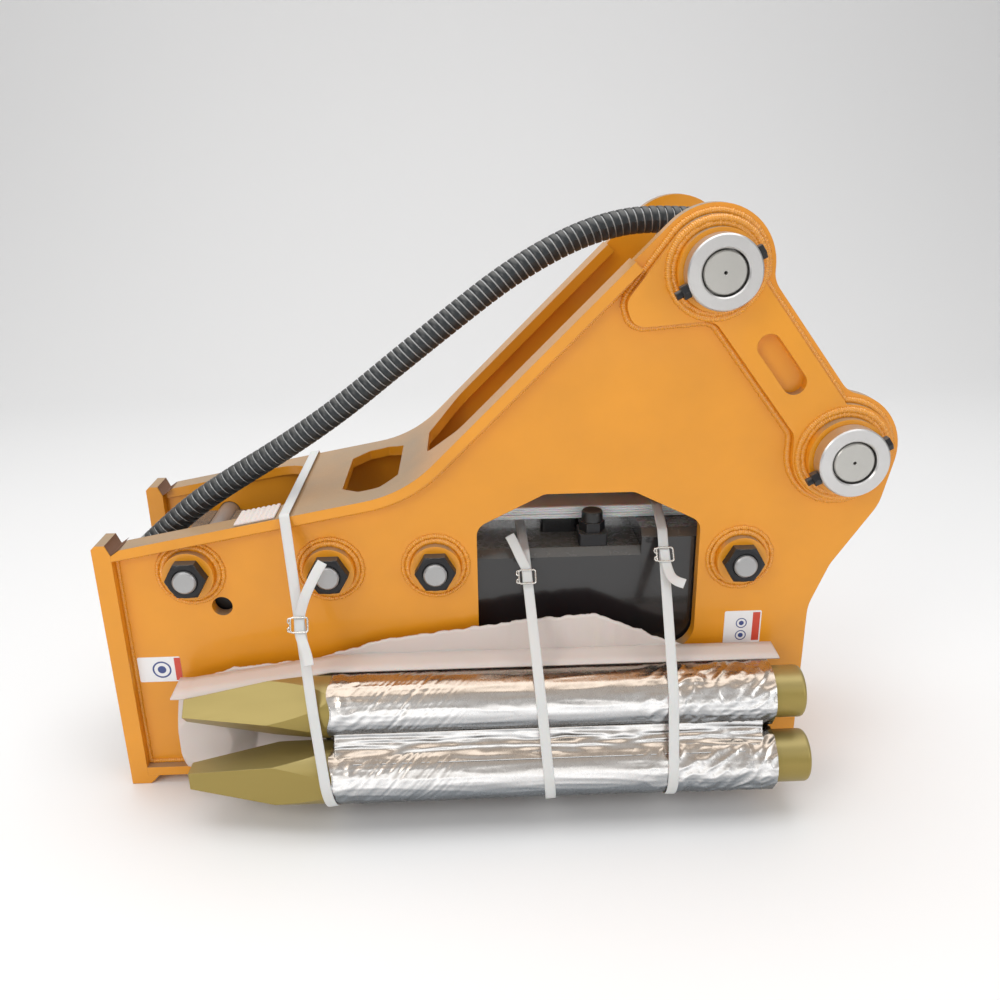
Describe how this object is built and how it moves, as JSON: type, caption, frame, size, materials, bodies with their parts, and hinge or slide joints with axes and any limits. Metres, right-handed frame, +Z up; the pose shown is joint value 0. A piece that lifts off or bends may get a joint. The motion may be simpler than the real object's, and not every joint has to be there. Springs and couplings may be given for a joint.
{
  "type": "hydraulic breaker hammer",
  "caption": "Side-type hydraulic breaker in a bent and welded plate housing with a two-pin excavator bracket, lying on its feet with spare chisels strapped to one side.",
  "frame": {"origin": "on the tool axis, at the mouth of the tool bore in the front head", "axes": "+X along the tool axis, back towards the pin bracket; +Z up, towards the bracket's upper pin; -Y is the side that carries the spare chisels"},
  "size_m": [1.2249, 0.52, 0.91],
  "materials": {
    "orange_paint": "gloss",
    "black_paint": "satin",
    "machined_steel": "turned",
    "black_steel": "black oxide",
    "seal_rubber": "matte",
    "black_plastic": "satin",
    "brass": "turned",
    "buffer_plastic": "satin",
    "gold_paint": "satin metallic",
    "foil": "crinkled",
    "foam": "soft foam",
    "strap_webbing": "woven",
    "buckle_wire": "zinc",
    "hose_guard": "spiral guard",
    "hose_sleeve": "woven sleeve",
    "decal_film": "film"
  },
  "bodies": {
    "housing": {"back_head": "black_paint", "back_plate": "orange_paint", "bolt_bosses": "orange_paint", "cargo_straps": "strap_webbing", "chisel_wraps": "foil", "chisels": "gold_paint", "cylinder": "black_paint", "decals": "decal_film", "far_bottom_rail": "orange_paint", "far_front_bar": "orange_paint", "far_head_doubler": "orange_paint", "far_side_plate": "orange_paint", "foam_bundle": "foam", "foam_sheets": "foam", "front_head": "black_paint", "gas_valve": "brass", "grease_nipple": "brass", "hose_fittings": "machined_steel", "inner_tool_bushing": "machined_steel", "lower_cross_plate": "orange_paint", "near_bottom_rail": "orange_paint", "near_front_bar": "orange_paint", "near_head_doubler": "orange_paint", "near_side_plate": "orange_paint", "outer_tool_bushing": "machined_steel", "pin_bosses": "orange_paint", "pin_bushings": "machined_steel", "piston_seals": "seal_rubber", "port_adapters": "black_steel", "port_caps": "black_plastic", "rear_buffer": "buffer_plastic", "rear_feet": "orange_paint", "retaining_pin_plugs": "machined_steel", "retaining_pins": "machined_steel", "return_hose": "hose_sleeve", "seal_retainer": "machined_steel", "side_bolts": "machined_steel", "side_buffers": "buffer_plastic", "side_nuts": "black_steel", "strap_buckles": "buckle_wire", "supply_hose": "hose_guard", "throat_plate": "orange_paint", "through_bolt_nuts": "black_steel", "through_bolts": "black_steel", "thrust_ring": "machined_steel", "top_plate": "orange_paint", "upper_cross_plate": "orange_paint", "valve_cover": "black_paint", "valve_plug": "machined_steel"},
    "piston": {"piston": "machined_steel"},
    "valve_spool": {"valve_spool": "machined_steel"},
    "upper_pin": {"upper_pin": "machined_steel", "upper_pin_collars": "machined_steel", "upper_lock_bolts": "black_steel", "upper_lock_nuts": "black_steel"},
    "lower_pin": {"lower_pin": "machined_steel", "lower_pin_collars": "machined_steel", "lower_lock_bolts": "black_steel", "lower_lock_nuts": "black_steel"}
  },
  "joints": [
    {"name": "piston_stroke", "type": "slide", "parent": "housing", "child": "piston", "axis": [1, 0, 0], "range_m": [0, 0.075]},
    {"name": "valve_shift", "type": "slide", "parent": "housing", "child": "valve_spool", "axis": [1, 0, 0], "range_m": [0, 0.02]},
    {"name": "upper_pin_turn", "type": "hinge", "parent": "housing", "child": "upper_pin", "pos_m": [0.886, 0, 0.5845], "axis": [0, 1, 0], "continuous": true},
    {"name": "lower_pin_turn", "type": "hinge", "parent": "housing", "child": "lower_pin", "pos_m": [1.095, 0, 0.3095], "axis": [0, 1, 0], "continuous": true}
  ]
}
